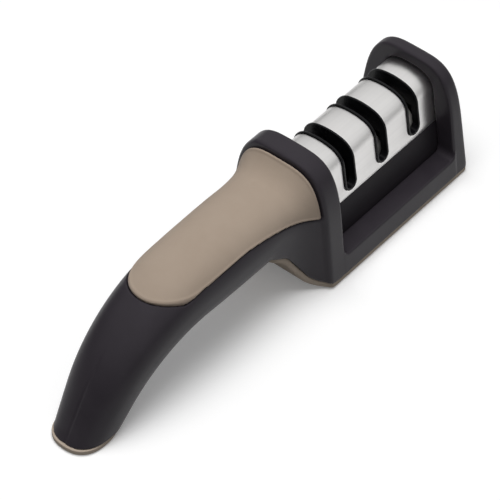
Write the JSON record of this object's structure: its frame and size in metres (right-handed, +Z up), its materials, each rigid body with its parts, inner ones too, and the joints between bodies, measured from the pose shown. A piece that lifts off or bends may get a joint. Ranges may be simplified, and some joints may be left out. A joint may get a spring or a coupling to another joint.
{
  "type": "knife sharpener",
  "caption": "Hand-held pull-through knife sharpener with a steel-capped slotted head, free-turning abrasive rollers and a soft-grip handle that curves down to a foot.",
  "frame": {"origin": "middle of the object's outline on the surface it stands on", "axes": "+X along the length from the handle's foot to the head, +Z up, Y across the slots' openings"},
  "size_m": [0.2076, 0.0512, 0.0569],
  "materials": {
    "body": "fine satin moulding",
    "soft": "soft-touch matt",
    "steel": "brushed along the length",
    "liner": "smooth moulding",
    "inner": "plain moulding",
    "screw": "zinc plated",
    "cutter": "ground hard metal",
    "axle": "ground",
    "washer": "plain moulding",
    "medium_grit": "abrasive grit",
    "fine_grit": "fine unglazed"
  },
  "bodies": {
    "body": {"housing": "body", "grip_pad": "soft", "handle_cover": "body", "handle_screw": "screw", "foot": "soft", "base_pad": "soft", "base_plate": "inner", "base_screws": "screw", "cartridge_base": "body", "cartridge_screws": "screw", "slot_liner": "liner", "liner_screws": "screw", "steel_cover": "steel", "cutter_left": "cutter", "cutter_right": "cutter"},
    "medium_roller": {"medium_axle": "axle", "medium_wheel_front": "medium_grit", "medium_wheel_rear": "medium_grit", "medium_washers": "washer"},
    "fine_roller": {"fine_axle": "axle", "fine_wheel_front": "fine_grit", "fine_wheel_rear": "fine_grit", "fine_washers": "washer"}
  },
  "joints": [
    {"name": "medium_turn", "type": "hinge", "parent": "body", "child": "medium_roller", "pos_m": [0.06336, 0, 0.026], "axis": [1, 0, 0], "continuous": true},
    {"name": "fine_turn", "type": "hinge", "parent": "body", "child": "fine_roller", "pos_m": [0.08271, 0, 0.026], "axis": [1, 0, 0], "continuous": true}
  ]
}
